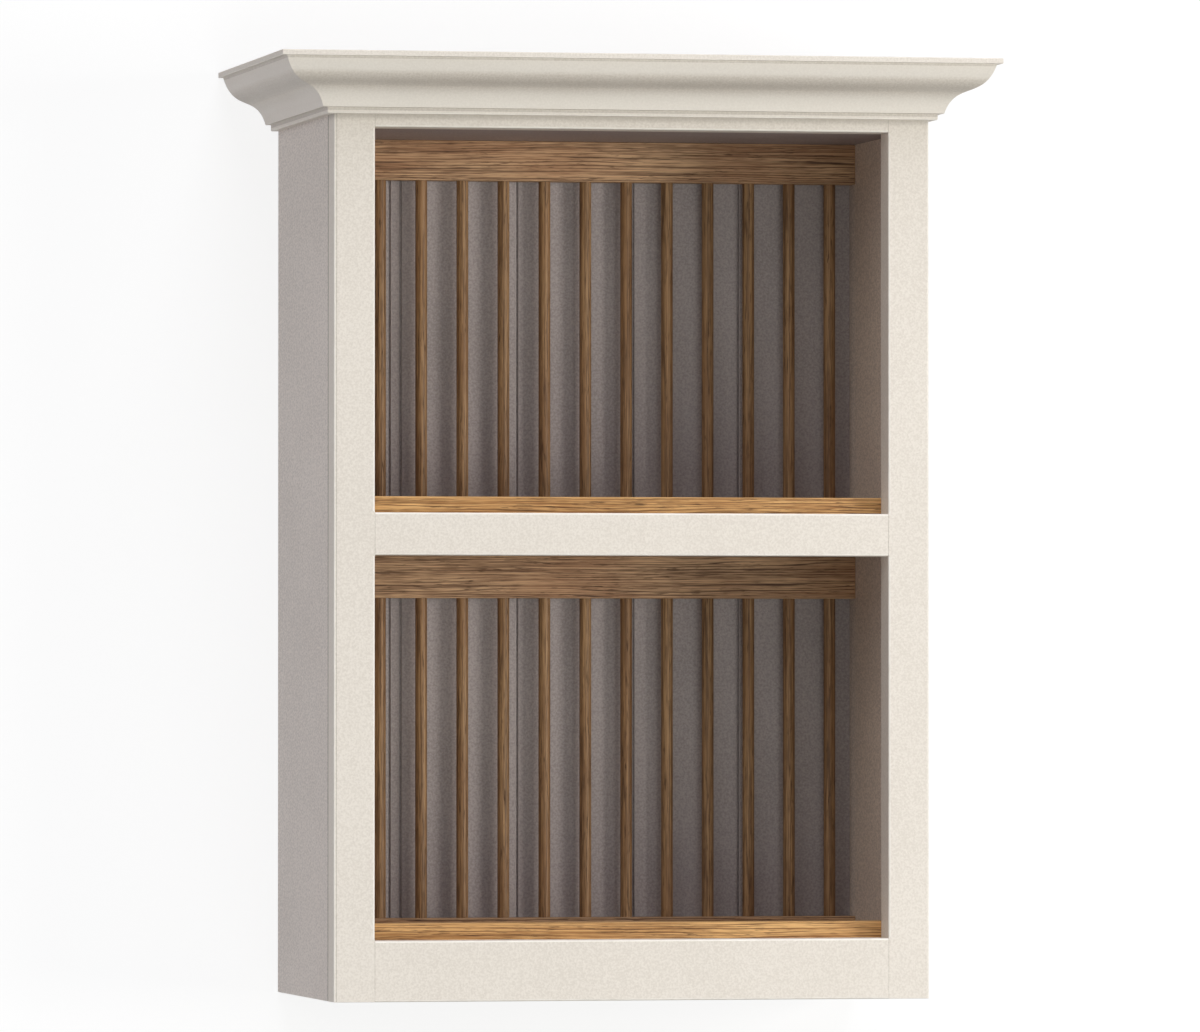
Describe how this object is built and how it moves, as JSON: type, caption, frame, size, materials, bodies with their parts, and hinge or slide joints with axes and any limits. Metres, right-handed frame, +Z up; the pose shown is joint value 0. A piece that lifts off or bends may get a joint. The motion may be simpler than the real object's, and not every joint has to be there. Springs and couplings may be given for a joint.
{
  "type": "wall plate rack",
  "caption": "Painted wall-hung plate rack: an open face-framed cabinet with a moulded cornice and tiers of oak dowels between oak rails that hold plates on edge.",
  "frame": {"origin": "midway between the two wall screw holes, on the wall plane at the back of the upper wall rail", "axes": "+X to the right seen from the front, +Y into the wall, +Z up; the open front faces -Y"},
  "size_m": [0.723, 0.3865, 0.9315],
  "materials": {
    "painted_wood": "warm off-white eggshell paint with a faint brushed and grained surface",
    "inside_paint": "taupe grey eggshell paint inside the bays, a shade darker than the frame",
    "oak_rail": "oiled medium-brown oak, straight grain along the rail",
    "oak_dowel": "oiled medium-brown oak, turned, grain along the dowel",
    "bare_timber": "bare planed softwood",
    "screw_steel": "zinc-plated steel"
  },
  "bodies": {
    "root": {"left_side_panel": "painted_wood", "right_side_panel": "painted_wood", "base_panel": "painted_wood", "top_panel": "painted_wood", "left_stile": "painted_wood", "right_stile": "painted_wood", "bottom_frame_rail": "painted_wood", "middle_frame_rail": "painted_wood", "top_frame_rail": "painted_wood", "front_cornice": "painted_wood", "left_cornice": "painted_wood", "right_cornice": "painted_wood", "middle_shelf": "inside_paint", "back_board_1": "inside_paint", "back_board_2": "inside_paint", "back_board_3": "inside_paint", "back_board_4": "inside_paint", "back_board_5": "inside_paint", "upper_wall_rail": "bare_timber", "lower_wall_rail": "bare_timber", "lower_front_rail": "oak_rail", "lower_base_rail": "oak_rail", "lower_top_rail": "oak_rail", "upper_front_rail": "oak_rail", "upper_base_rail": "oak_rail", "upper_top_rail": "oak_rail", "lower_dowel_01": "oak_dowel", "lower_dowel_02": "oak_dowel", "lower_dowel_03": "oak_dowel", "lower_dowel_04": "oak_dowel", "lower_dowel_05": "oak_dowel", "lower_dowel_06": "oak_dowel", "lower_dowel_07": "oak_dowel", "lower_dowel_08": "oak_dowel", "lower_dowel_09": "oak_dowel", "lower_dowel_10": "oak_dowel", "lower_dowel_11": "oak_dowel", "lower_dowel_12": "oak_dowel", "lower_dowel_13": "oak_dowel", "upper_dowel_01": "oak_dowel", "upper_dowel_02": "oak_dowel", "upper_dowel_03": "oak_dowel", "upper_dowel_04": "oak_dowel", "upper_dowel_05": "oak_dowel", "upper_dowel_06": "oak_dowel", "upper_dowel_07": "oak_dowel", "upper_dowel_08": "oak_dowel", "upper_dowel_09": "oak_dowel", "upper_dowel_10": "oak_dowel", "upper_dowel_11": "oak_dowel", "upper_dowel_12": "oak_dowel", "upper_dowel_13": "oak_dowel", "base_panel_screws": "screw_steel", "shelf_screws": "screw_steel", "top_panel_screws": "screw_steel", "cornice_screws": "screw_steel"}
  },
  "joints": []
}
